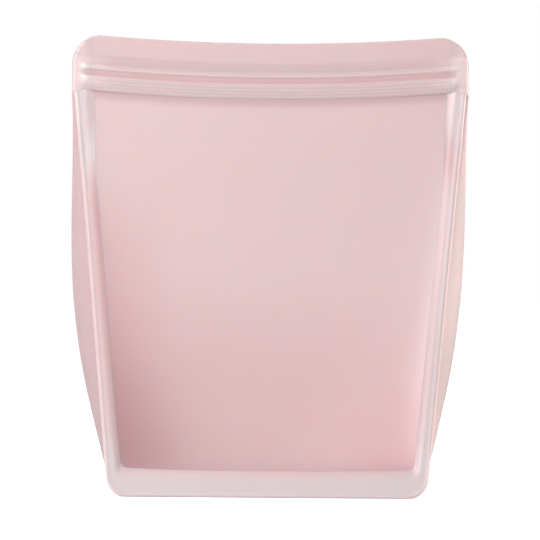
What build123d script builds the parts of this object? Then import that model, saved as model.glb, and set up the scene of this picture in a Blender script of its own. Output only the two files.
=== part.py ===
"""Stand-up silicone storage bag with a pinch lock.

Two tapered walls lean together from the floor to a lock and a pair of lips, and a gusset closes the
sides and the base between them. A thick seam frames each wall at its sides and foot, and a weld
closes each end of the lock. Millimetres, +X to the right, -Y to the front, +Z up, origin on the
floor under the middle of the bag.
"""

import os
from math import asin, atan2, cos, degrees, sin, tan

from build123d import *

FRONT, REAR = -1, 1
LEFT, RIGHT = -1, 1

# Overall sizes
bag_height = 228.0  # floor to the lips' highest points
mouth_width = 197.0  # across the welded ends of the lips
foot_width = 157.0  # across a foot seam
gusset_depth = 74.0  # between the two walls' inner faces, at the floor

# Sheets, seams and gussets
sheet = 1.5  # walls, gussets and lips
seam_thickness = 3.0
side_seam_width = 7.0
foot_seam_width = 13.0
foot_corner_radius = 11.0
panel_corner_radius = 3.0
seam_edge_radius = 0.9
shoulder_inset = 1.0  # the seams start this far inside the ends of the lips
gusset_inset = 1.5  # a gusset starts this far inside a seam's outer edge
gusset_bulge = 9.7  # how far a side gusset swells outwards at mid height
gusset_fullness = 0.75  # 0.5 swells as an ellipse does, and 1 as a parabola
gusset_top_gap = 8.0  # the side gussets end this far below the fold line
gusset_sections = 11

# Lock, lips and end welds
band_height = 28.0  # lips and lock together
lock_height = 18.0
lower_rib_height = 7.7  # grip rib under the finger groove
finger_groove_height = 3.2
upper_rib_height = 2.8  # grip rib over the finger groove
rib_thickness = 3.8
finger_groove_thickness = 2.6
lock_shoulder_thickness = 3.0
lip_corner_radius = 14.0
mouth_sag = 4.0  # the middle of the mouth hangs this far below its ends
weld_width = 8.0
weld_lock_thickness = 7.0
weld_lip_thickness = 3.2
tongue_length = 1.85
tongue_base = 2.2
tongue_tip = 1.4
tongue_side_play = 0.15
tongue_end_play = 0.3

# Bend lines and clearances
bend_height = 106.0  # an opened mouth bends its walls about this height
throat = 0.5  # from the middle plane to a wall's inner face, at the fold line
face_play = 0.1  # from the middle plane to each half of the lock
clearance = 0.3  # between pieces that part from each other

# Worked out from the sizes above
fold_height = bag_height - band_height
half_mouth = mouth_width / 2
half_foot = foot_width / 2
half_fold = half_mouth - shoulder_inset
lean = atan2(gusset_depth / 2 - throat, fold_height)
weld_start = half_mouth - weld_width
band_end = weld_start - clearance
lock_radius = (weld_start**2 + mouth_sag**2) / (2 * mouth_sag)  # of the lock's lower edge
sag_centre = fold_height - mouth_sag + lock_radius
lip_radius = lock_radius - lock_height
seam_split = foot_seam_width + panel_corner_radius + sheet


def half_width(z):
    """Half the width across a wall's seams at height z."""
    return half_foot + (half_fold - half_foot) * z / fold_height


def half_depth(z):
    """From the middle plane to a wall's inner face at height z."""
    return throat + (fold_height - z) * tan(lean)


def on_wall(z):
    """How far height z is along a wall from the fold line, which is at 0."""
    return (z - fold_height) / cos(lean)


def inner_half(v):
    """Half the width between a wall's side seams, v along the wall from the fold line."""
    return half_width(fold_height + v * cos(lean)) - side_seam_width


def outward(side):
    """The direction a wall faces."""
    return (0, side * cos(lean), sin(lean))


def wall_plane(side):
    """A wall's inner face, with its origin on the fold line and its second axis up the wall."""
    return Plane(origin=(0, side * throat, fold_height), x_dir=(-side, 0, 0), z_dir=outward(side))


def bend_plane(side, gap):
    """Square across a wall, a gap above the line where an opened mouth bends it."""
    wall = wall_plane(side)
    return Plane(origin=wall.from_local_coords((0, on_wall(bend_height) + gap, 0)), z_dir=wall.y_dir)


def band_plane(side):
    """The upright inner face of one half of the lock."""
    return Plane(origin=(0, side * face_play, 0), x_dir=(-side, 0, 0), z_dir=(0, side, 0))


def save(piece, name):
    """Names a finished piece and writes its file."""
    piece.part.label = name
    export_step(piece.part, f"parts/{name}.step")


def wall_opening(side_gap):
    """The outline inside a wall's seams. Its top follows the hanging lower edge of the lock."""
    top = -clearance - sheet * tan(lean)
    foot = on_wall(0) + foot_seam_width
    top_half, foot_half = inner_half(top) - side_gap, inner_half(foot) - side_gap
    with BuildSketch() as opening:
        with BuildLine():
            Polyline((-top_half, top), (-foot_half, foot), (foot_half, foot), (top_half, top))
            ThreePointArc((top_half, top), (0, top - mouth_sag), (-top_half, top))
        make_face()
        fillet(opening.vertices().group_by(Axis.Y)[0], panel_corner_radius)
    return opening.sketch


def seam_frame(side):
    """One wall's whole seam: a U of thick silicone with rounded lower corners and a flat foot."""
    top = seam_thickness
    bottom = on_wall(0) - seam_thickness * tan(lean)
    foot = on_wall(0) + foot_seam_width
    with BuildPart() as frame:
        with BuildSketch(wall_plane(side)) as outline:
            with BuildLine():
                Polyline(
                    (-half_fold, top),
                    (-half_foot, bottom),
                    (half_foot, bottom),
                    (half_fold, top),
                    close=True,
                )
            make_face()
            fillet(outline.vertices().group_by(Axis.Y)[0], foot_corner_radius)
            with BuildSketch(mode=Mode.PRIVATE) as opening:
                with BuildLine():
                    Polyline(
                        (-inner_half(0), 0),
                        (-inner_half(foot), foot),
                        (inner_half(foot), foot),
                        (inner_half(0), 0),
                        (inner_half(0), 2 * top),
                        (-inner_half(0), 2 * top),
                        close=True,
                    )
                make_face()
                fillet(opening.vertices().group_by(Axis.Y)[0], panel_corner_radius)
            add(opening.sketch, mode=Mode.SUBTRACT)
        extrude(amount=seam_thickness)
        face_out = frame.faces().sort_by(Axis((0, 0, 0), outward(side)))[-1]
        fillet(face_out.edges(), seam_edge_radius)
        split(bisect_by=Plane.XY, keep=Keep.TOP)
        split(bisect_by=Plane.XY.offset(fold_height - clearance), keep=Keep.BOTTOM)
    return frame.part


def seams(side, name):
    """A wall's seam as three pieces: the foot with both corners, and the two side legs."""
    frame = seam_frame(side)
    with BuildPart() as foot_seam:
        add(frame)
        split(bisect_by=Plane.XY.offset(seam_split), keep=Keep.BOTTOM)
    save(foot_seam, f"{name}_foot_seam")
    for hand, hand_name in ((LEFT, "left"), (RIGHT, "right")):
        with BuildPart() as side_seam:
            add(frame)
            split(bisect_by=Plane.XY.offset(seam_split), keep=Keep.TOP)
            split(bisect_by=Plane.YZ, keep=Keep.TOP if hand == RIGHT else Keep.BOTTOM)
        save(side_seam, f"{name}_{hand_name}_seam")


def lower_panel(side, name):
    """The part of a wall below the bend line, which fills its seams from edge to edge."""
    with BuildPart() as panel:
        with BuildSketch(wall_plane(side)):
            add(wall_opening(side_gap=0))
        extrude(amount=sheet)
        split(bisect_by=bend_plane(side, 0), keep=Keep.BOTTOM)
    save(panel, f"{name}_lower_panel")


def upper_panel(side, name):
    """The part of a wall that leans out with the mouth, clear of the seams beside it."""
    with BuildPart() as panel:
        with BuildSketch(wall_plane(side)):
            add(wall_opening(side_gap=clearance))
        extrude(amount=sheet)
        split(bisect_by=bend_plane(side, clearance), keep=Keep.TOP)
    save(panel, f"{name}_upper_panel")


def tongue_outline(height, play, side):
    """A tapered tongue across the middle plane at a height, or its groove if there is play round it."""
    root = side * face_play
    end = root - side * (tongue_length + (tongue_end_play if play else 0))
    base, tip = tongue_base / 2 + play, tongue_tip / 2 + play
    return [(root, height - base), (end, height - tip), (end, height + tip), (root, height + base)]


def lock_half(side, name):
    """Half of the lock: grip ribs outside, and two grooves (front) or tongues (rear) inside.
    Its section is turned about a far point above it, so that it hangs in a shallow curve."""
    foot = fold_height - mouth_sag
    lower_rib_top = foot + lower_rib_height
    upper_rib_foot = lower_rib_top + finger_groove_height
    upper_rib_top = upper_rib_foot + upper_rib_height
    lock_top = foot + lock_height
    section = [
        (face_play, foot),
        (rib_thickness, foot),
        (rib_thickness, lower_rib_top),
        (finger_groove_thickness, lower_rib_top),
        (finger_groove_thickness, upper_rib_foot),
        (rib_thickness, upper_rib_foot),
        (rib_thickness, upper_rib_top),
        (lock_shoulder_thickness, upper_rib_top),
        (face_play + sheet, lock_top),
        (face_play, lock_top),
    ]
    tongue_heights = (foot + lower_rib_height / 2, upper_rib_foot + upper_rib_height / 2)
    with BuildPart() as lock:
        with BuildSketch(Plane.YZ):
            with BuildLine():
                Polyline([(side * out, z) for out, z in section], close=True)
            make_face()
            for height in tongue_heights:
                play = tongue_side_play if side == FRONT else 0
                with BuildLine():
                    Polyline(tongue_outline(height, play, REAR), close=True)
                make_face(mode=Mode.SUBTRACT if side == FRONT else Mode.ADD)
        half_arc = degrees(asin(weld_start / lip_radius))
        revolve(axis=Axis((0, 0, sag_centre), (0, 1, 0)), revolution_arc=half_arc)
        mirror(about=Plane.YZ)
        split(bisect_by=Plane.YZ.offset(band_end), keep=Keep.BOTTOM)
        split(bisect_by=Plane.YZ.offset(-band_end), keep=Keep.TOP)
    save(lock, f"{name}_lock")


def band_outline():
    """The lips and lock seen from the front, with rounded upper corners and a hanging top edge."""
    corner_start = half_mouth - lip_corner_radius
    end_height = bag_height + mouth_sag * ((half_mouth / corner_start) ** 2 - 1)
    with BuildSketch() as outline:
        with BuildLine():
            Polyline(
                (-half_mouth, end_height),
                (-half_mouth, fold_height),
                (half_mouth, fold_height),
                (half_mouth, end_height),
            )
            ThreePointArc(
                (half_mouth, end_height),
                (0, bag_height - mouth_sag),
                (-half_mouth, end_height),
            )
        make_face()
        fillet(outline.vertices().group_by(Axis.Y)[-1], lip_corner_radius)
    return outline.sketch


def lip(side, name):
    """A pull lip above the lock, between the end welds."""
    with BuildPart() as sheet_lip:
        with BuildSketch(band_plane(side)):
            add(band_outline())
            with Locations((0, sag_centre)):
                Circle(lip_radius, mode=Mode.INTERSECT)
            with Locations((0, bag_height)):
                Rectangle(2 * band_end, 2 * band_height, mode=Mode.INTERSECT)
        extrude(amount=sheet)
    save(sheet_lip, f"{name}_lip")


def end_weld(hand, name):
    """Where the two walls are fused past an end of the lock: thick beside it, thin at the lips."""
    lock_top = fold_height + lock_height
    with BuildPart() as weld:
        with BuildSketch(Plane.XZ):
            add(band_outline())
            with Locations((hand * (weld_start + weld_width), fold_height + lock_height / 2)):
                Rectangle(2 * weld_width, lock_height, mode=Mode.INTERSECT)
        extrude(amount=weld_lock_thickness / 2, both=True)
        with BuildSketch(Plane.XZ):
            add(band_outline())
            with Locations((hand * (weld_start + weld_width), lock_top + band_height / 2)):
                Rectangle(2 * weld_width, band_height, mode=Mode.INTERSECT)
        extrude(amount=weld_lip_thickness / 2, both=True)
    save(weld, f"{name}_end_weld")


def side_gusset(hand, name):
    """A side gusset: level arcs from seam to seam, which swell most at mid height."""
    low, high = foot_corner_radius, fold_height - gusset_top_gap
    with BuildPart() as gusset:
        for i in range(gusset_sections):
            share = i / (gusset_sections - 1)
            z = low + (high - low) * share
            x = half_width(z) - gusset_inset
            swell = gusset_bulge * (4 * share * (1 - share)) ** gusset_fullness + sheet / 20
            front, rear = -half_depth(z), half_depth(z) - clearance
            middle = (front + rear) / 2
            with BuildSketch(Plane.XY.offset(z)):
                with BuildLine():
                    ThreePointArc((hand * x, front), (hand * (x + swell), middle), (hand * x, rear))
                    Line((hand * x, rear), (hand * (x - sheet), rear))
                    ThreePointArc(
                        (hand * (x - sheet), rear),
                        (hand * (x - sheet + swell), middle),
                        (hand * (x - sheet), front),
                    )
                    Line((hand * (x - sheet), front), (hand * x, front))
                make_face()
        loft()
    save(gusset, f"{name}_gusset")


def base_gusset():
    """The floor of the bag, turned up at both sides to meet the side gussets."""
    wall_x = half_width(foot_corner_radius) - gusset_inset
    bend = foot_corner_radius - gusset_inset
    with BuildPart() as base:
        with BuildSketch(Plane.XZ):
            for radius, inset, mode in ((bend, 0, Mode.ADD), (bend - sheet, sheet, Mode.SUBTRACT)):
                with BuildSketch(mode=Mode.PRIVATE) as trough:
                    with Locations((0, foot_corner_radius)):
                        Rectangle(2 * (wall_x - inset), 2 * radius)
                    fillet(trough.vertices(), radius * (1 - 1e-4))
                    with Locations((0, foot_corner_radius)):
                        Rectangle(2 * wall_x, 4 * bend, align=(Align.CENTER, Align.MIN), mode=Mode.SUBTRACT)
                add(trough.sketch, mode=mode)
        extrude(amount=gusset_depth, both=True)
        split(bisect_by=wall_plane(FRONT), keep=Keep.BOTTOM)
        split(bisect_by=wall_plane(REAR).offset(-clearance * cos(lean)), keep=Keep.BOTTOM)
    save(base, "base_gusset")


os.makedirs("parts", exist_ok=True)
for side, name in ((FRONT, "front"), (REAR, "rear")):
    lower_panel(side, name)
    upper_panel(side, name)
    seams(side, name)
    lock_half(side, name)
    lip(side, name)
for hand, name in ((LEFT, "left"), (RIGHT, "right")):
    side_gusset(hand, name)
    end_weld(hand, name)
base_gusset()
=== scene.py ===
"""Looks for the stand-up silicone bag: skins worked out on grids, milky silicone, studio light.

Lengths are in millimetres until a mesh is made. u runs across a wall, v up it from the fold line
under the lock (so points of the wall have a negative v), and n outwards from its inner face. h is
a height over the lock's lower edge.

Each piece carries two values per point for its tint: layers, from 0 for one thin milky sheet to 1
for several over each other, and painted shading, the share by which painted shade darkens the
colour; below 0 it is painted light, which brightens it. Layers also carries painted shade and
painted highlights in places, said where they are set.
"""

import math

import bmesh
import bpy
import numpy as np
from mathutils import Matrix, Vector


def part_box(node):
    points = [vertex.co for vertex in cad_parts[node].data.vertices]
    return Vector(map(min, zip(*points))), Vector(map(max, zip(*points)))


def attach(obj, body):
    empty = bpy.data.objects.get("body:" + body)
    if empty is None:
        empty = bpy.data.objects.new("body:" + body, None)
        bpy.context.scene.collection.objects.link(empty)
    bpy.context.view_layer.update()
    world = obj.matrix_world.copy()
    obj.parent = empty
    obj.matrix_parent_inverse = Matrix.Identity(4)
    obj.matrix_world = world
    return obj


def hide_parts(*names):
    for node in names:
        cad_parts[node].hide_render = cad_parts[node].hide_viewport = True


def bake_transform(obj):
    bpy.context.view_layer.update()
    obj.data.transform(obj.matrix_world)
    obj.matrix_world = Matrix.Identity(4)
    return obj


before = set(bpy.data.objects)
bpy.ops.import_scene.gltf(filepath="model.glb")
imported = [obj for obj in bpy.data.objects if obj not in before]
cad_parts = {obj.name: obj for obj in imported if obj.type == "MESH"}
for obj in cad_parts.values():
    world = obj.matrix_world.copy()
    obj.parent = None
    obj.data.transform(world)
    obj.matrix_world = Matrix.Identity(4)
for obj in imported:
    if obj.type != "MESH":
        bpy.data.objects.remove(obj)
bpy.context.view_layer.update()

MM = 0.001
FRONT, REAR = -1, 1
LEFT, RIGHT = -1, 1

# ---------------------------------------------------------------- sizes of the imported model
weld_low, weld_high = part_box("left_end_weld")

half_mouth = -weld_low.x / MM  # from the middle to the lips' ends
weld_start = -weld_high.x / MM  # and to where the end welds begin
fold_height = weld_low.z / MM  # of the fold line, right under the lock
half_fold = half_mouth - 1.0  # from the middle to the seams' outer edges, at the fold line
half_foot = 78.5  # and at the foot
depth_at_foot = 37.0  # from the middle plane to a wall's inner face, at the foot
throat = 0.5  # and at the fold line
sheet = 1.5  # thickness of walls and gussets
side_seam = 7.0  # a seam's width up a side
foot_seam = 13.0  # and along the foot
outer_corner = 11.0  # radius of a seam's outer edge at its corners
inner_corner = 3.0  # and of its inner edge
gusset_inset = 1.5  # from the seams' outer edges in to the gussets
band_height = 28.0  # lock and lip together
lip_corner = 14.0  # radius of the lips' upper corners
mouth_sag = 4.0  # how much lower the lock hangs in its middle

lean = math.atan2(depth_at_foot - throat, fold_height)
sin_lean, cos_lean, tan_lean = math.sin(lean), math.cos(lean), math.tan(lean)
wall_foot = -fold_height / cos_lean
panel_foot = wall_foot + foot_seam


# ---------------------------------------------------------------- small shared shapes
def smooth(x, low, high):
    """0 up to low, 1 from high on, and a smooth cubic between."""
    t = np.clip((x - low) / (high - low), 0, 1)
    return t * t * (3 - 2 * t)


def fading(x, low, high):
    """The other way round: 1 up to low and 0 from high on."""
    return 1 - smooth(x, low, high)


def between(x, low, full, fade, high):
    """1 from full to fade, and easing to 0 at low and at high."""
    return smooth(x, low, full) * fading(x, fade, high)


def hump(x, middle, width):
    """A bell curve, 1 at its middle."""
    return np.exp(-(((x - middle) / width) ** 2))


def rounded(distance, radius):
    """A quarter circle: 0 at an edge, and 1 from a radius inside it."""
    t = np.clip(distance / radius, 0, 1)
    return np.sqrt(1 - (1 - t) ** 2)


def crowded(count):
    """0 to 1, closer together at both ends."""
    return (1 - np.cos(np.linspace(0, np.pi, count))) / 2


def side_to_side(count):
    """-1 to 1, closer together at both ends."""
    return np.sin(np.linspace(-np.pi / 2, np.pi / 2, count))


def half_width(z):
    """Half the width over a wall's seams, at a height."""
    return half_foot + (half_fold - half_foot) * z / fold_height


def half_depth(z):
    """From the middle plane to a wall's inner face, at a height."""
    return throat + (fold_height - z) * tan_lean


def outer_half(v):
    """Half the width over a wall's side seams, up the wall."""
    return half_width(fold_height + v * cos_lean)


def inner_half(v):
    """Half the width between them."""
    return outer_half(v) - side_seam


def on_wall(side, u, v, n):
    """Points of a wall from its own u, v and n."""
    y = side * (throat - v * sin_lean + n * cos_lean)
    z = fold_height + v * cos_lean + n * sin_lean
    return np.stack(np.broadcast_arrays(u, y, z), -1)


def mouth_drop(x):
    """How far the lock hangs below its ends: a shallow parabola."""
    return mouth_sag * (1 - (x / weld_start) ** 2)


lip_corner_x = half_mouth - lip_corner
lip_corner_z = fold_height + band_height - mouth_drop(lip_corner_x) - lip_corner


def lip_top(x):
    """Height of the lips' upper edge: the hanging curve, then a quarter circle at each end."""
    beyond = np.clip(np.abs(x) - lip_corner_x, 0, lip_corner)
    hanging = fold_height + band_height - mouth_drop(x)
    return np.where(beyond > 0, lip_corner_z + np.sqrt(lip_corner**2 - beyond**2), hanging)


# ---------------------------------------------------------------- meshes
SHARP_EDGE = math.radians(50)


def make_piece(name, points, faces, material, layers, depth):
    """A smooth mesh object at the origin, its faces turned outwards, with its tint's two values on
    each point."""
    mesh = bpy.data.meshes.new(name)
    mesh.from_pydata((points.reshape(-1, 3) * MM).tolist(), [], faces)
    work = bmesh.new()
    work.from_mesh(mesh)
    bmesh.ops.recalc_face_normals(work, faces=work.faces)
    work.to_mesh(mesh)
    work.free()
    mesh.shade_smooth()
    mesh.set_sharp_from_angle(angle=SHARP_EDGE)
    for key, value in (("layers", layers), ("depth", depth)):
        field = mesh.attributes.new(key, "FLOAT", "POINT")
        field.data.foreach_set("value", np.asarray(value, np.float32).ravel())
    mesh.materials.append(material)
    piece = bpy.data.objects.new(name, mesh)
    bpy.context.scene.collection.objects.link(piece)
    return piece


def quads(index):
    """The faces of a grid of point numbers."""
    a, b, c, d = index[:-1, :-1], index[1:, :-1], index[1:, 1:], index[:-1, 1:]
    return np.stack([a, b, c, d], -1).reshape(-1, 4).tolist()


def swept_faces(rows, columns):
    """Faces of closed sections (columns points each) swept along rows, with both ends capped."""
    index = np.arange(rows * columns).reshape(rows, columns)
    faces = quads(np.concatenate([index, index[:, :1]], 1))
    return faces + [index[0].tolist(), index[-1].tolist()]


def shell_faces(rows, columns):
    """Faces of two grids, one inside the other, joined all round their edges."""
    outer = np.arange(rows * columns).reshape(rows, columns)
    inner = outer + rows * columns
    faces = quads(outer) + quads(inner)
    for edge in (np.s_[0, :], np.s_[-1, :], np.s_[:, 0], np.s_[:, -1]):
        faces += quads(np.stack([outer[edge], inner[edge]]))
    return faces


def both(values):
    """The same values on both grids of a shell."""
    return np.stack([values, values])


# ---------------------------------------------------------------- materials
MIX_COLOUR_A, MIX_COLOUR_B, MIX_COLOUR_OUT = 6, 7, 2  # sockets of a colour mix
MIX_FLOAT_A, MIX_FLOAT_B = 2, 3  # sockets of a plain mix
LAYERS_PER_DRIFT = 4  # how much more the mottling moves the layers than the brightness


def silicone_tint_group():
    """Milky silicone's colour, roughness and fine relief. A thin single layer is pale, and layers
    over each other are pinker. Painted shading darkens the colour as painted shade, and below 0
    brightens it as painted light. A slow mottling and a fine satin grain break up both."""
    group = bpy.data.node_groups.new("milky_tint", "ShaderNodeTree")
    face = group.interface
    for name, kind, value in (
        ("Thin", "NodeSocketColor", (0.8, 0.7, 0.7, 1)),
        ("Layered", "NodeSocketColor", (0.7, 0.5, 0.5, 1)),
        ("Layers", "NodeSocketFloat", 0.5),
        ("Depth", "NodeSocketFloat", 0.0),
        ("Roughness", "NodeSocketFloat", 0.4),
        ("Mottle", "NodeSocketFloat", 0.03),
        ("Grain", "NodeSocketFloat", 0.05),
    ):
        socket = face.new_socket(name, in_out="INPUT", socket_type=kind)
        socket.default_value = value
    for name, kind in (
        ("Color", "NodeSocketColor"),
        ("Roughness", "NodeSocketFloat"),
        ("Height", "NodeSocketFloat"),
    ):
        face.new_socket(name, in_out="OUTPUT", socket_type=kind)

    nodes, links = group.nodes, group.links
    entry, leave = nodes.new("NodeGroupInput"), nodes.new("NodeGroupOutput")
    place = nodes.new("ShaderNodeTexCoord")

    def noise(scale, detail, rough):
        node = nodes.new("ShaderNodeTexNoise")
        node.inputs["Scale"].default_value = scale
        node.inputs["Detail"].default_value = detail
        node.inputs["Roughness"].default_value = rough
        links.new(place.outputs["Object"], node.inputs["Vector"])
        return node.outputs["Fac"]

    def math_node(kind, a, b, clamp=False):
        node = nodes.new("ShaderNodeMath")
        node.operation = kind
        node.use_clamp = clamp
        for socket, value in zip(node.inputs, (a, b)):
            if isinstance(value, (int, float)):
                socket.default_value = value
            else:
                links.new(value, socket)
        return node.outputs[0]

    clouds = noise(scale=14, detail=3, rough=0.5)
    specks = noise(scale=900, detail=2, rough=0.6)
    grain = noise(scale=2600, detail=2, rough=0.5)

    drift = math_node("MULTIPLY", math_node("SUBTRACT", clouds, 0.5), entry.outputs["Mottle"])
    moved = math_node("MULTIPLY", drift, LAYERS_PER_DRIFT)
    layers = math_node("ADD", entry.outputs["Layers"], moved, clamp=True)
    mix = nodes.new("ShaderNodeMix")
    mix.data_type = "RGBA"
    links.new(layers, mix.inputs["Factor"])
    links.new(entry.outputs["Thin"], mix.inputs[MIX_COLOUR_A])
    links.new(entry.outputs["Layered"], mix.inputs[MIX_COLOUR_B])

    shade = nodes.new("ShaderNodeHueSaturation")
    links.new(mix.outputs[MIX_COLOUR_OUT], shade.inputs["Color"])
    brighter = math_node("ADD", math_node("MULTIPLY", drift, 0.6), 1)
    # painted shade and light: the value is scaled by one less the painted shading
    left_over = math_node("SUBTRACT", 1, entry.outputs["Depth"])
    links.new(math_node("MULTIPLY", brighter, left_over), shade.inputs["Value"])
    links.new(shade.outputs["Color"], leave.inputs["Color"])

    uneven = math_node("MULTIPLY", math_node("SUBTRACT", specks, 0.5), 0.12)
    rough = math_node("ADD", entry.outputs["Roughness"], uneven, clamp=True)
    links.new(rough, leave.inputs["Roughness"])
    links.new(math_node("MULTIPLY", grain, entry.outputs["Grain"]), leave.inputs["Height"])
    return group


milky_tint = silicone_tint_group()


def srgb(code):
    """A colour from its six-digit web code, in linear light."""
    parts = [int(code[i : i + 2], 16) / 255 for i in (0, 2, 4)]
    linear = (p / 12.92 if p <= 0.04045 else ((p + 0.055) / 1.055) ** 2.4 for p in parts)
    return (*linear, 1)


def silicone(name, thin="E1D7D6", layered="C89FA3", roughness=0.42, specular=0.5):
    """Moulded silicone. Its layers attribute says how pink it is, and its second attribute how much
    painted shade darkens it, and below 0 how much painted light brightens it.
    """
    material = bpy.data.materials.new(name)
    material.use_nodes = True
    nodes, links = material.node_tree.nodes, material.node_tree.links
    shader = nodes["Principled BSDF"]
    tint = nodes.new("ShaderNodeGroup")
    tint.node_tree = milky_tint
    tint.inputs["Thin"].default_value = srgb(thin)
    tint.inputs["Layered"].default_value = srgb(layered)
    tint.inputs["Roughness"].default_value = roughness
    for socket in ("Layers", "Depth"):
        field = nodes.new("ShaderNodeAttribute")
        field.attribute_name = socket.lower()
        links.new(field.outputs["Fac"], tint.inputs[socket])
    links.new(tint.outputs["Color"], shader.inputs["Base Color"])
    links.new(tint.outputs["Roughness"], shader.inputs["Roughness"])
    relief = nodes.new("ShaderNodeBump")
    relief.inputs["Strength"].default_value = 0.25
    relief.inputs["Distance"].default_value = 0.0004
    links.new(tint.outputs["Height"], relief.inputs["Height"])
    links.new(relief.outputs["Normal"], shader.inputs["Normal"])
    shader.inputs["IOR"].default_value = 1.41
    shader.inputs["Specular IOR Level"].default_value = specular
    shader.inputs["Subsurface Weight"].default_value = 0.6
    shader.inputs["Subsurface Radius"].default_value = (1.0, 0.45, 0.4)
    shader.inputs["Subsurface Scale"].default_value = 0.003
    shader.inputs["Sheen Weight"].default_value = 0.03
    return material


wall_silicone = silicone("wall_silicone")
seam_silicone = silicone("seam_silicone", thin="D8CDCE", layered="D9A9AC")
lock_silicone = silicone("lock_silicone", roughness=0.36)
gusset_silicone = silicone("gusset_silicone", roughness=0.55, specular=0.25)


# ---------------------------------------------------------------- panels
panel_columns, panel_rows = 121, 141
panel_tuck = 0.8  # a panel runs this far under its seams
panel_lap = 1.2  # and this far up into the lock
low_sag, mid_sag = 9.5, 1.3  # depth of the low round dish, and of the shallow tray over it
panel_edge = {FRONT: 0.65, REAR: 1.5}  # how far out a panel's face lies along its edges
rim_slope = {FRONT: 0.27, REAR: 0.04}  # and how steeply it rises outside them


def panel_face(side, u, v):
    """How far out a panel's face lies. It sags the same way on both walls, so they nest when folded
    flat: a round dish low down, and above it a shallow tray with quick edges. Both drop quickly off
    the foot seam and ease out towards the lock. Outside its edges it rises on as a plain slope."""
    t = np.clip((v - panel_foot) / -panel_foot, 0, 1)
    s = np.minimum(np.abs(u) / inner_half(v), 1)
    drop = 1 - 0.45 * np.exp(-t / 0.02) - 0.55 * np.exp(-t / 0.16)
    roundness = np.where(u < 0, 3.0, 2.3)
    dish = low_sag * (1 - s**roundness) * fading(t, 0.03, 0.65)
    tray = mid_sag * (1 - s**14) * fading(t, 0.6, 1)
    outside = np.maximum(np.abs(u) - inner_half(v), 0) + np.maximum(panel_foot - v, 0)
    return panel_edge[side] + side * drop * (dish + tray) + rim_slope[side] * outside


def panel_tint(u, v, z):
    """Painted shade: a panel is pinker low down, more so in its lower corners and most in the left
    one, right under the lock and halfway up its left edge. It is darker, also painted shade, right
    under the lock, low on the left and along the foot."""
    low = fading(z, 45, 120)
    low_corner = smooth(np.abs(u), 30, 72) * fading(z, 15, 70)
    under_lock = smooth(v + mouth_drop(u), -6, -0.5)
    left_edge = fading(u, -80, -40) * between(z, 20, 60, 110, 165)
    low_left = fading(u, -70, -20) * fading(z, 25, 85)
    by_foot = fading(u, -50, 30) * fading(z, 15, 45)
    corner_pink = np.where(u < 0, 0.28, 0.18)
    layers = 0.58 + 0.17 * low + corner_pink * low_corner + 0.18 * (under_lock + left_edge)
    depth = 0.14 * under_lock + 0.1 * low_left + 0.08 * by_foot
    return layers, depth


def make_panel(side, name, nodes):
    """One wall's panel, a single sheet across its bend. Its grid runs from seam to seam and from
    the foot seam up to the hanging lock, a little under each, and lies on the panel's sagging face.
    The inner skin is the same grid, one thickness further in."""
    s = side_to_side(panel_columns)[None, :]
    t = crowded(panel_rows)[:, None]
    top = -mouth_drop(s * inner_half(0)) + panel_lap
    foot = panel_foot - panel_tuck
    v = foot + (top - foot) * t
    u = (inner_half(v) + panel_tuck) * s
    face = panel_face(side, u, v)
    outer, inner = (on_wall(side, u, v, n) for n in (face, face - sheet))
    z = outer[..., 2]
    layers, depth = panel_tint(u, v, z)
    piece = make_piece(
        name,
        np.stack([outer, inner]),
        shell_faces(panel_rows, panel_columns),
        wall_silicone,
        both(layers),
        both(depth),
    )
    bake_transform(piece)
    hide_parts(*nodes)


# ---------------------------------------------------------------- seams
seam_columns = 41
seam_rise = 1.95  # how far a seam stands out
milky_thinning = 0.65  # and how much less it does near the lock
bead_rise = 0.22  # what the bead along its outer edge adds
seam_round = 1.1  # radius of its outer edge
seam_lap = 0.04  # how far its inner edge lies over the panel
fall_end = 0.93  # share of the width from which it lies on the panel


def corner_arc(corner, towards_a, towards_b, radius, count):
    """Points of a fillet between two straight lines that meet at a corner."""
    a, b = (np.array(t) / np.linalg.norm(t) for t in (towards_a, towards_b))
    half_angle = math.acos(np.clip(a @ b, -1, 1)) / 2
    middle = (a + b) / np.linalg.norm(a + b)
    centre = np.array(corner) + middle * radius / math.sin(half_angle)
    swing = (np.pi / 2 - half_angle) * np.linspace(-1, 1, count)
    side = b - a
    side = side / np.linalg.norm(side)
    return centre + radius * (np.outer(np.sin(swing), side) - np.outer(np.cos(swing), middle))


def seam_line(half_top, half_low, v_top, v_low, radius):
    """A U in a wall's plane: down the left leg, round the corner, along the foot and up again."""
    leg = np.array([half_top - half_low, v_top - v_low])
    arc = corner_arc((half_low, v_low), (-1, 0), leg, radius, 17)
    foot = np.stack([crowded(61)[1:] * arc[0, 0], np.full(60, v_low)], 1)[:-1]
    rise = arc[-1] + crowded(91)[1:, None] * (np.array([half_top, v_top]) - arc[-1])
    right = np.concatenate([foot, arc, rise])
    return np.concatenate([right[::-1] * (-1, 1), [[0, v_low]], right])


def seam_edges():
    """A seam's outer and inner edge, both a U. The inner edge stands further in along the legs,
    most near the lock, and rises along the foot as a shallow parabola towards the corners."""
    top, foot = 0.7, wall_foot - 0.55
    outer = seam_line(outer_half(top), outer_half(foot), top, foot, outer_corner)
    inner = seam_line(inner_half(top), inner_half(panel_foot), top, panel_foot, inner_corner)
    widened = 0.9 + 2.2 * smooth(inner[:, 1], -42, -8)
    inner[:, 0] -= np.sign(inner[:, 0]) * widened * smooth(np.abs(inner[:, 0]), 60, 68)
    raised = 0.5 + 1.4 * (inner[:, 0] / 70) ** 2
    inner[:, 1] += raised * fading(inner[:, 1], panel_foot + 4, panel_foot + 22)
    return outer, inner


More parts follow.
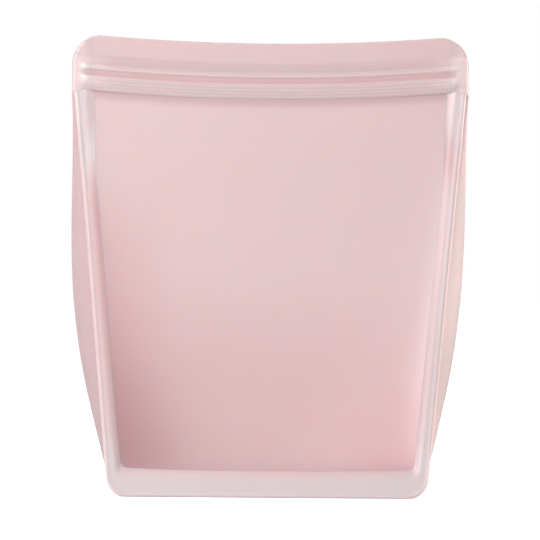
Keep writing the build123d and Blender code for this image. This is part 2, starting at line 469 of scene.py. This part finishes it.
def seam_tint(u, v, d, inward, at_foot, milky):
    """A leg is pinker along its outer edge and towards the panel, painted shade in the crease by
    the gusset and where it rolls down onto the panel. Along its bead it is paler, a painted
    highlight, and darker, painted shade, and it is milky near the lock. The foot is milky; it is
    pinker along both its edges and darker away from the panel, painted shade, and brighter along
    its lower edge, painted light. The right leg carries painted light and shade: paler low down,
    pinker near the lock, darker on its inner side and low down, with a narrow brighter strip near
    the lock. The left leg near the lock is brightened on its inner side, painted light, and darker
    along its bead."""
    leg = 1 - at_foot
    leg_pink = 0.45 - 0.35 * milky + (0.4 - 0.3 * milky) * smooth(inward, 0.3, 0.95)
    leg_pink = leg_pink + 0.12 * hump(d, 0, 0.7)
    foot_pink = 0.04 + 0.55 * smooth(inward, 0.55, 0.98) + 0.1 * fading(inward, 0.05, 0.25)
    foot_pink = foot_pink + 0.08 * hump(d, 0.2, 0.8)
    foot_shading = 0.085 * fading(inward, 0.6, 0.98) - 0.3 * hump(d, 0, 0.6)
    layers = leg * leg_pink + at_foot * foot_pink - 0.2 * hump(d, 1.8, 0.7)
    depth = leg * 0.14 * hump(d, 1.4, 1.2) + at_foot * foot_shading

    right = smooth(u, 40, 66) * (1 - 0.9 * at_foot)
    inner_side = smooth(inward, 0.3, 0.6)
    low = fading(v, -150, -70)
    layers = layers + right * (milky * (0.3 + 0.35 * inner_side) - 0.2 * (1 - milky))
    depth = depth + right * ((0.13 + 0.04 * milky) * inner_side + 0.08 * low)
    depth = depth - right * milky * 0.06 * hump(inward, 0.35, 0.15)

    # painted light on the left leg near the lock: brightened past its own colour, as a glow
    left = fading(u, -60, 0)
    glow = 0.16 * smooth(inward, 0.4, 0.7) - 0.14 * hump(d, 1.6, 1)
    return layers, depth - left * milky * glow


def make_seams(side, name, body, nodes):
    """One wall's seam, a closed section carried round the U between its two edges: up a quarter
    circle to a bead along the outer edge, over a flat band, then evenly down onto the panel's face.
    Its back is flat."""
    outer, inner = seam_edges()
    q = crowded(seam_columns)[None, :]
    width = np.linalg.norm(inner - outer, axis=1)[:, None]
    across = outer[:, None, :] + (inner - outer)[:, None, :] * q[..., None]
    u, v = across[..., 0], across[..., 1]
    d = q * width
    inward = d / width
    at_foot = smooth(width, side_seam + 1, foot_seam - 2)
    milky = smooth(v, -60, -25) * (1 - at_foot)

    bead = bead_rise * hump(d, 1.8 - 0.4 * at_foot, 0.8)
    n = (seam_rise - milky_thinning * milky + bead) * rounded(d, seam_round)
    lap = panel_face(side, u, v) + seam_lap - 0.18 * smooth(inward, 0.95, 1)
    start = 0.3 + 0.25 * at_foot
    even_fall = np.clip((inward - start) / (fall_end - start), 0, 1)
    n = n + (lap - n) * (even_fall + smooth(inward, start, fall_end)) / 2

    back = across[:, ::-8][:, 1:-1]
    flat = np.zeros(back.shape[:2])
    section = np.concatenate([across, back], 1)
    n = np.concatenate([n, flat], 1)
    points = on_wall(side, section[..., 0], section[..., 1], n)
    points[..., 2] = np.maximum(points[..., 2], 0)
    layers, depth = seam_tint(u, v, d, inward, at_foot, milky)
    piece = make_piece(
        name,
        points,
        swept_faces(*n.shape),
        seam_silicone,
        np.concatenate([layers, flat + 0.4], 1),
        np.concatenate([depth, flat], 1),
    )
    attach(piece, body)
    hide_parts(*nodes)


# ---------------------------------------------------------------- lock and lips
closure_columns = 161
rib_face = 3.8  # how far out the grip stands
rib_height, rib_pitch = 0.07, 1.65
finger_groove = 1.05  # depth of the groove over the grip
lip_start = 18.3  # where the lock's band ends
lip_face = 1.65  # how far out the lip's face lies
section_middle = 0.9  # what the section's rounded edges close on
edge_round = 0.8  # radius of the lip's upper edge
face_play = 0.1  # between an inner face and the middle plane
tongue_heights = 3.85, 12.3
tongue_length, tongue_play = 1.85, 0.15
weld_lap = 1.5  # how far the closure and a weld reach into each other
weld_tone, lock_tone, groove_pink = 0.33, 0.46, 0.36
# how strongly painted shade darkens the lock's thick stretches and edges, and the welds' rims
painted_shade_strength = 0.12


def grip_ribs(h):
    """The grip's fine ribs: a sine, -1 in the valleys and 1 on the crests, fading at both ends."""
    return np.sin(2 * np.pi * (h - 0.9) / rib_pitch) * between(h, 0.6, 1.4, 6.6, 7.3)


def in_groove(h):
    """1 on the finger groove's floor, where the closure is pinkest."""
    return between(h, 7.2, 8.1, 9.8, 11)


def closure_face(h):
    """The outer face of lock and lip at a height over the lock's lower edge: a ribbed grip under a
    finger groove, a narrow rib over it, a shoulder, and a ledge down to the lip."""
    ribs = rib_height * grip_ribs(h)
    groove = finger_groove * between(h, 7.4, 8.4, 10.1, 11.6)
    crease = 0.45 * hump(h, 13.5, 0.28)
    shoulder = 0.55 * smooth(h, 13.4, 14.0) + 0.35 * smooth(h, 14, 17)
    ledge = (rib_face - 0.9 - lip_face) * smooth(h, 16.6, 18.2)
    return rib_face + ribs - groove - crease - shoulder - ledge


def tongue_profile(h, play):
    """Two tapered tongues, or with play the grooves round them: 1 on their tips, 0 between."""
    base, tip = 1.1 + play, 0.7 + play
    return sum(fading(np.abs(h - middle), tip, base) for middle in tongue_heights)


def closure_tint(x, h):
    """The closure is pinker in the finger groove and on the lip. Along its lower edge it is pinker,
    painted shade in the crease under the lock, and along the lip's upper edge paler and darker,
    painted shade on the rounded edge. The ribs' crests are paler and their valleys pinker, a
    painted highlight and painted shade. Painted shade also darkens the lock where it is thick, the
    grip and the shoulder, except beside the welds."""
    upper_edge = hump(band_height - h, 0, 0.6)
    on_lip = smooth(h, 13.5, 14.2) * (1 - 0.35 * hump(h, 17.3, 0.6))
    rim = 2.5 * hump(h, 0, 0.7) - 1.2 * upper_edge
    layers = lock_tone + groove_pink * in_groove(h) + 0.13 * on_lip + 0.14 * rim
    layers = layers - 0.07 * grip_ribs(h) + 0 * x
    # painted shade over the lock's thick stretches, the grip and the shoulder
    thick = between(h, 2, 4, 7, 7.6) + between(h, 11.6, 12.4, 16.6, 18.4)
    thick = thick * fading(np.abs(x), weld_start - 16, weld_start - 1)
    return layers, painted_shade_strength * (thick + upper_edge)


def make_closure(side, name, nodes):
    """Half of the lock with its lip, as one section carried along the hanging mouth line: the
    outer face above, then down the inner one with its tongues or grooves. The lip is squeezed in
    height where the lips' corners come down."""
    x = (weld_start + weld_lap) * side_to_side(closure_columns)[:, None]
    lock_foot = fold_height - mouth_drop(x)
    edge_steps = edge_round * crowded(10)[1:-1]
    h_out = np.concatenate(
        [
            0.6 * edge_steps,
            np.linspace(0.5, lip_start, 75),
            np.linspace(18.6, band_height - 2 * edge_round, 12),
            band_height - edge_round + edge_steps,
        ]
    )[None, :]
    h_in = np.concatenate([np.linspace(27.4, 18, 8), np.linspace(17.4, 0.4, 86)])[None, :]
    round_edge = smooth(h_out, -2, 4.5) * rounded(band_height - h_out, edge_round)
    outside = section_middle + (closure_face(h_out) - section_middle) * round_edge
    if side == FRONT:
        grooves = (tongue_length + 2 * tongue_play) * tongue_profile(h_in, tongue_play)
        inside = face_play + grooves
    else:
        inside = face_play - tongue_length * tongue_profile(h_in, 0)
    y = side * (np.concatenate([outside, inside], 1) + 0 * x)
    h = np.concatenate([h_out, h_in], 1) + 0 * x
    squeeze = np.minimum((lip_top(x) - lock_foot - lip_start) / (band_height - lip_start), 1)
    h = np.where(h > lip_start, lip_start + (h - lip_start) * squeeze, h)
    points = np.stack(np.broadcast_arrays(x, y, lock_foot + h), -1)
    layers, depth = closure_tint(x, h_out)
    hidden = 0 * (h_in + x)
    piece = make_piece(
        name,
        points,
        swept_faces(*y.shape),
        lock_silicone,
        np.concatenate([layers, hidden + 0.3], 1),
        np.concatenate([depth, hidden], 1),
    )
    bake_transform(piece)
    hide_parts(*nodes)


def make_weld(hand, name, node):
    """The fused end of lock and lips: a pad as thick as the lock, thinner at the lips and tapering
    to its lower edge, rounded outside, with two moulded lumps beside the ends of the ribs. Beside
    the lock it eases into the lock's own face. Front and rear are mirror images."""
    p = crowded(61)[:, None]
    q = crowded(81)[None, :]
    x = weld_start - weld_lap + (half_mouth - weld_start + weld_lap) * p
    low = fold_height - 0.4
    z = low + (lip_top(x) - low) * q
    h = z - fold_height + mouth_drop(x)
    in_corner = (x > lip_corner_x) & (z > lip_corner_z)
    to_arc = lip_corner - np.hypot(x - lip_corner_x, z - lip_corner_z)
    edge = np.where(in_corner, to_arc, half_mouth - x)

    pad = 3.35 - 1.75 * smooth(h, 16.6, 18.4)
    pad = pad - (0.7 + 1.2 * ((half_fold - x) / 10) ** 2) * fading(h, 0, 5)
    beside_lock = fading(x, weld_start + 0.3, weld_start + 4.2)
    lock_face = closure_face(np.clip(h, 0.6, 27)) - section_middle
    lock_face = section_middle + lock_face * smooth(h, -2, 4.5)
    face = pad + (lock_face + 0.04 - pad) * beside_lock
    lumps = sum(hump(h, middle, 1.9) for middle in (6.4, 11.8)) * hump(x, half_mouth - 6.4, 2.6)
    half = (face + 0.36 * lumps) * rounded(edge, 1.5) * rounded(z - low, 0.5)

    # painted shade along the rounded rim (paler and darker) and a painted highlight on the paler
    # lumps
    rim = hump(edge, 0, 0.8)
    by_lock = lock_tone - weld_tone + groove_pink * in_groove(h)
    layers = weld_tone - 0.1 * rim + beside_lock * by_lock + 0.17 * smooth(h, 17, 20) - 0.25 * lumps
    piece = make_piece(
        name,
        np.stack([np.stack([hand * x + 0 * z, side * half, z], -1) for side in (FRONT, REAR)]),
        shell_faces(*z.shape),
        lock_silicone,
        both(layers),
        both(painted_shade_strength * rim),
    )
    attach(piece, "bag_body")
    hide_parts(node)


# ---------------------------------------------------------------- gussets
gusset_columns = 49
left_fullness, right_fullness = 9.9, 8.0  # how far each side swells at its fullest


def gusset_line(fullness):
    """Half of the gussets' own line, from under the middle of the base round a corner and up to
    the lock: its points, the way outwards, and how far it swells at mid depth. Up the side the
    swell is a lopsided sine arch, and under the base a flat dome inwards."""
    radius = outer_corner - gusset_inset
    corner_x = half_width(outer_corner) - gusset_inset - radius
    flat_x = crowded(31)[:-1] * corner_x
    flat = np.stack([flat_x, np.full(30, gusset_inset)], 1)
    turn = np.linspace(0, np.pi / 2, 15)[:-1]
    arc = np.stack([corner_x + radius * np.sin(turn), outer_corner - radius * np.cos(turn)], 1)
    side_z = outer_corner + (fold_height - 0.5 - outer_corner) * crowded(81)
    side = np.stack([half_width(side_z) - gusset_inset, side_z], 1)
    line = np.concatenate([flat, arc, side])
    way = np.gradient(line, axis=0)
    way = way / np.linalg.norm(way, axis=1, keepdims=True)
    out = np.stack([way[:, 1], -way[:, 0]], 1)
    length = np.concatenate([[0], np.cumsum(np.linalg.norm(np.diff(line, axis=0), axis=1))])
    share = np.clip((length - flat_x[-1]) / (length[-1] - flat_x[-1]), 0, 1)
    swell = fullness * np.sin(np.pi * share**0.844) ** 1.54 + 2.8 * smooth(line[:, 1], 20, 190)
    dome = -3.0 * np.clip(1 - (line[:, 0] / (corner_x + 4)) ** 4, 0, 1) * (share <= 0)
    return line, out, swell + dome


def make_gusset(name, nodes):
    """Sides and base as one sheet between the walls. From wall to wall it swells as a parabola, and
    in the middle runs a faint fold line, a narrow bell curve inwards, that lets it crease flat.
    Painted light and shade: the left side is pinker and darker all over and paler along its middle,
    and the right one paler, and darker along its middle except near the top, and low down."""
    halves = []
    for hand, fullness in ((LEFT, left_fullness), (RIGHT, right_fullness)):
        line, out, swell = gusset_line(fullness)
        flip = (hand, 1)
        halves.append((line * flip, out * flip, swell))
    left, right = halves
    line, out, swell = (np.concatenate([a[::-1], b[1:]]) for a, b in zip(left, right))
    phi = side_to_side(gusset_columns)[None, :]
    line_x, line_z = line[:, :1], line[:, 1:]
    fold = 0.5 * hump(phi, 0, 0.05) * smooth(np.abs(line_x), 60, 75)
    reach = swell[:, None] * (1 - phi**2) - fold

    def surface(inset):
        x, z = (line[:, i, None] + out[:, i, None] * (reach - inset) for i in (0, 1))
        return np.stack([x, phi * (half_depth(z) + 0.3), z], -1)

    # painted light and shade: left side pinker and darker, paler along its middle; right side
    # paler, darker low and along its middle
    rightwards = smooth(line_x, -60, 60)
    layers = 0.68 - 0.3 * hump(phi, 0, 0.2) * (1 - rightwards) - 0.3 * rightwards + 0 * reach
    edge_on = 0.3 * hump(phi, 0, 0.38) * fading(line_z, 120, 190)
    low = 0.18 * fading(line_z, 50, 110)
    depth = 0.17 + (edge_on + low - 0.12) * rightwards + 0 * reach
    piece = make_piece(
        name,
        np.stack([surface(0), surface(sheet)]),
        shell_faces(*reach.shape),
        gusset_silicone,
        both(layers),
        both(depth),
    )
    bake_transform(piece)
    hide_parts(*nodes)


# ---------------------------------------------------------------- the bag
make_panel(
    FRONT,
    "front_panel",
    ("front_lower_panel", "front_upper_panel"),
)
make_panel(
    REAR,
    "rear_panel",
    ("rear_lower_panel", "rear_upper_panel"),
)
make_seams(
    FRONT,
    "front_seams",
    "bag_body",
    ("front_left_seam", "front_right_seam", "front_foot_seam"),
)
make_seams(
    REAR,
    "rear_seams",
    "rear_wall",
    ("rear_left_seam", "rear_right_seam", "rear_foot_seam"),
)
make_closure(FRONT, "front_closure", ("front_lock", "front_lip"))
make_closure(REAR, "rear_closure", ("rear_lock", "rear_lip"))
make_weld(LEFT, "left_weld", "left_end_weld")
make_weld(RIGHT, "right_weld", "right_end_weld")
make_gusset("gussets", ("left_gusset", "right_gusset", "base_gusset"))


# ---------------------------------------------------------------- floor, light and camera
def make_floor(radius, glow_seen):
    """A pale matt disc just under the bag, which glows a little, to the camera only."""
    mesh = bpy.data.meshes.new("floor")
    work = bmesh.new()
    bmesh.ops.create_circle(work, cap_ends=True, segments=64, radius=radius)
    work.to_mesh(mesh)
    work.free()
    material = bpy.data.materials.new("floor_white")
    material.use_nodes = True
    nodes, links = material.node_tree.nodes, material.node_tree.links
    shader = nodes["Principled BSDF"]
    shader.inputs["Base Color"].default_value = (0.8, 0.8, 0.8, 1)
    shader.inputs["Roughness"].default_value = 0.9
    shader.inputs["Specular IOR Level"].default_value = 0.1
    shader.inputs["Emission Color"].default_value = (1, 1, 1, 1)
    path, glow = nodes.new("ShaderNodeLightPath"), nodes.new("ShaderNodeMath")
    glow.operation = "MULTIPLY"
    glow.inputs[1].default_value = glow_seen
    links.new(path.outputs["Is Camera Ray"], glow.inputs[0])
    links.new(glow.outputs[0], shader.inputs["Emission Strength"])
    mesh.materials.append(material)
    floor = bpy.data.objects.new("floor", mesh)
    floor.location.z = -0.0002
    bpy.context.scene.collection.objects.link(floor)


def make_light(name, place, aim, size, power, colour=(1, 1, 1)):
    """A square soft box, turned towards its aim."""
    data = bpy.data.lights.new(name, "AREA")
    data.size = size
    data.energy = power
    data.color = colour
    light = bpy.data.objects.new(name, data)
    bpy.context.scene.collection.objects.link(light)
    light.location = place
    way = np.subtract(aim, place)
    light.rotation_euler = Vector(way).to_track_quat("-Z", "Y").to_euler()


def make_world(seen, lit):
    """A white surround: what the camera sees of it, and how much it lights."""
    world = bpy.data.worlds.new("studio")
    world.use_nodes = True
    nodes, links = world.node_tree.nodes, world.node_tree.links
    background = nodes["Background"]
    background.inputs["Color"].default_value = (1, 1, 1, 1)
    path = nodes.new("ShaderNodeLightPath")
    blend = nodes.new("ShaderNodeMix")
    links.new(path.outputs["Is Camera Ray"], blend.inputs["Factor"])
    blend.inputs[MIX_FLOAT_A].default_value = lit
    blend.inputs[MIX_FLOAT_B].default_value = seen
    links.new(blend.outputs[0], background.inputs["Strength"])
    bpy.context.scene.world = world


def make_camera(distance, elevation, roll, aim, width_seen):
    """Level with the bag and a little above it. width_seen is how much width fills the frame at
    the distance of the bag."""
    data = bpy.data.cameras.new("camera")
    data.sensor_width = 36
    data.lens = data.sensor_width * distance / width_seen
    data.clip_start, data.clip_end = 0.1, 50
    camera = bpy.data.objects.new("camera", data)
    bpy.context.scene.collection.objects.link(camera)
    tilt = math.radians(elevation)
    way = np.array([0, math.cos(tilt), -math.sin(tilt)])
    camera.location = np.array(aim) - distance * way
    turn = Vector(way).to_track_quat("-Z", "Y").to_matrix().to_4x4()
    turn = turn @ Matrix.Rotation(math.radians(roll), 4, "Z")
    camera.rotation_euler = turn.to_euler()
    bpy.context.scene.camera = camera


make_floor(radius=9, glow_seen=0.85)
make_light("key_left", place=(-1.07, -1.37, 0.98), aim=(0, 0, 0.12), size=0.7, power=35)
make_light(
    "rim_right",
    place=(1.2, 0.25, 0.2),
    aim=(0, 0, 0.1),
    size=0.5,
    power=13,
    colour=(1.0, 0.9, 0.84),
)
make_light("soft_back", place=(0.45, 1.6, 0.75), aim=(0, 0, 0.12), size=0.8, power=14)
make_world(seen=1.0, lit=0.36)
make_camera(distance=3.0, elevation=0.3, roll=0.45, aim=(0.0005, 0, 0.1116), width_seen=0.2683)
bpy.context.scene.view_settings.view_transform = "Standard"
